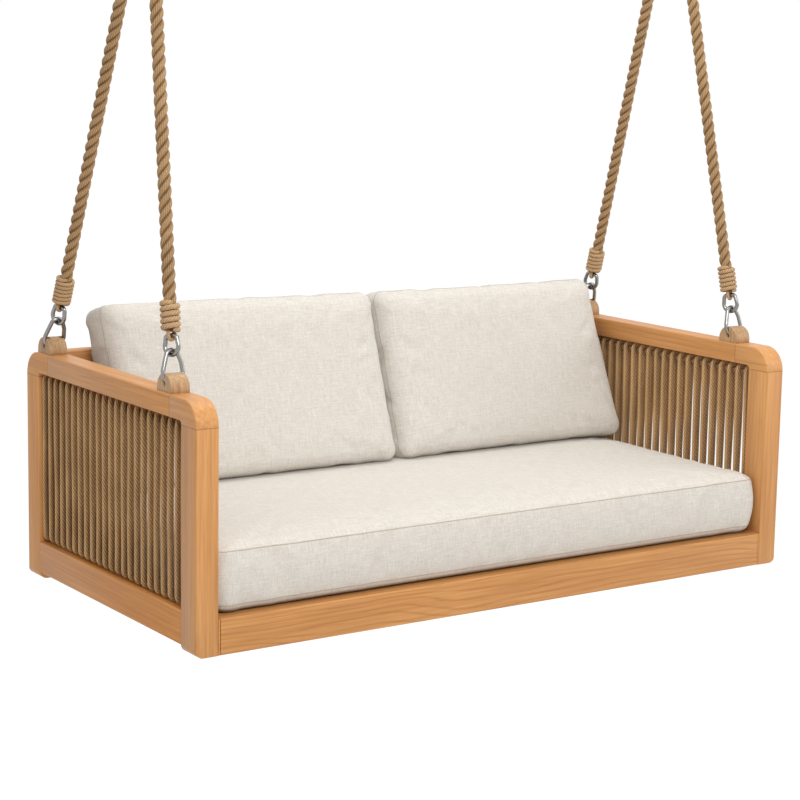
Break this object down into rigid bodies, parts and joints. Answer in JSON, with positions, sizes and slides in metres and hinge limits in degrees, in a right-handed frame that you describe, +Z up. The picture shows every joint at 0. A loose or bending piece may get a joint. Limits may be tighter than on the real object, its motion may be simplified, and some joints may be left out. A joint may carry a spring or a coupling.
{
  "type": "hanging swing bed",
  "caption": "Wooden daybed with cord-wound arms and loose linen cushions, hung by whipped ropes and pear links from ceiling plates so that it swings.",
  "frame": {"origin": "ceiling plane, midway between the two ceiling plates' screw patterns", "axes": "+Z up, +X to the bed's own side that is on the right seen from the front, front of the bed is -Y"},
  "size_m": [1.82, 0.9516, 2.08],
  "materials": {
    "wood": "satin oiled",
    "light_wood": "satin oiled",
    "dark_wood": "matte",
    "steel": "satin",
    "bronze": "satin",
    "rope": "laid fibre",
    "cord": "twisted fibre",
    "linen": "woven linen"
  },
  "bodies": {
    "ceiling": {"ceiling_plates": "steel", "pivot_bolts": "steel", "pivot_nuts": "steel"},
    "hangers": {"hanger_tangs": "steel", "pivot_bushes": "bronze"},
    "ropes_left": {"master_ring_left": "steel", "top_rings_left": "steel", "top_whippings_left": "rope", "rope_eyes_left": "rope", "rope_front_left": "rope", "rope_rear_left": "rope", "whipping_front_left": "rope", "whipping_rear_left": "rope", "rope_ring_front_left": "steel", "rope_ring_rear_left": "steel"},
    "ropes_right": {"master_ring_right": "steel", "top_rings_right": "steel", "top_whippings_right": "rope", "rope_eyes_right": "rope", "rope_front_right": "rope", "rope_rear_right": "rope", "whipping_front_right": "rope", "whipping_rear_right": "rope", "rope_ring_front_right": "steel", "rope_ring_rear_right": "steel"},
    "bed": {"link_front_left": "steel", "link_rear_left": "steel", "link_front_right": "steel", "link_rear_right": "steel", "saddle_front_left": "light_wood", "saddle_rear_left": "light_wood", "saddle_front_right": "light_wood", "saddle_rear_right": "light_wood", "post_front_left": "wood", "post_rear_left": "wood", "post_front_right": "wood", "post_rear_right": "wood", "corner_blocks_left": "wood", "corner_blocks_right": "wood", "top_rail_left": "wood", "top_rail_right": "wood", "bottom_rail_left": "wood", "bottom_rail_right": "wood", "arm_tenons": "wood", "cord_rods": "dark_wood", "cord_panel_left": "cord", "cord_panel_right": "cord", "front_rail": "wood", "back_rail": "wood", "back_top_rail": "wood", "back_rods": "dark_wood", "back_cords": "cord", "seat_side_rails": "wood", "slat_supports": "wood", "seat_slats": "light_wood", "frame_screws": "steel", "seat_cushion": "linen", "back_cushion_left": "linen", "back_cushion_right": "linen"}
  },
  "joints": [
    {"name": "swing", "type": "hinge", "parent": "ceiling", "child": "hangers", "pos_m": [0, 0, -0.038], "axis": [1, 0, 0], "range_deg": [-25, 25]},
    {"name": "sway", "type": "hinge", "parent": "hangers", "child": "ropes_left", "pos_m": [-0.806, 0, -0.084], "axis": [0, 0.9979, -0.0654], "range_deg": [-6, 6]},
    {"name": "bed_level", "type": "hinge", "parent": "ropes_left", "child": "bed", "pos_m": [-0.87601, 0.00806, -1.37261], "axis": [0, 0.9979, -0.0654], "range_deg": [-7, 7]},
    {"name": "right_ropes", "type": "hinge", "parent": "bed", "child": "ropes_right", "pos_m": [0.87601, 0.00806, -1.37261], "axis": [0, 0.9979, -0.0654], "range_deg": [-7, 7]}
  ],
  "couplings": [
    {"joint": "bed_level", "follows": "sway", "ratio": -0.92008},
    {"joint": "right_ropes", "follows": "sway", "ratio": 0.92008}
  ]
}
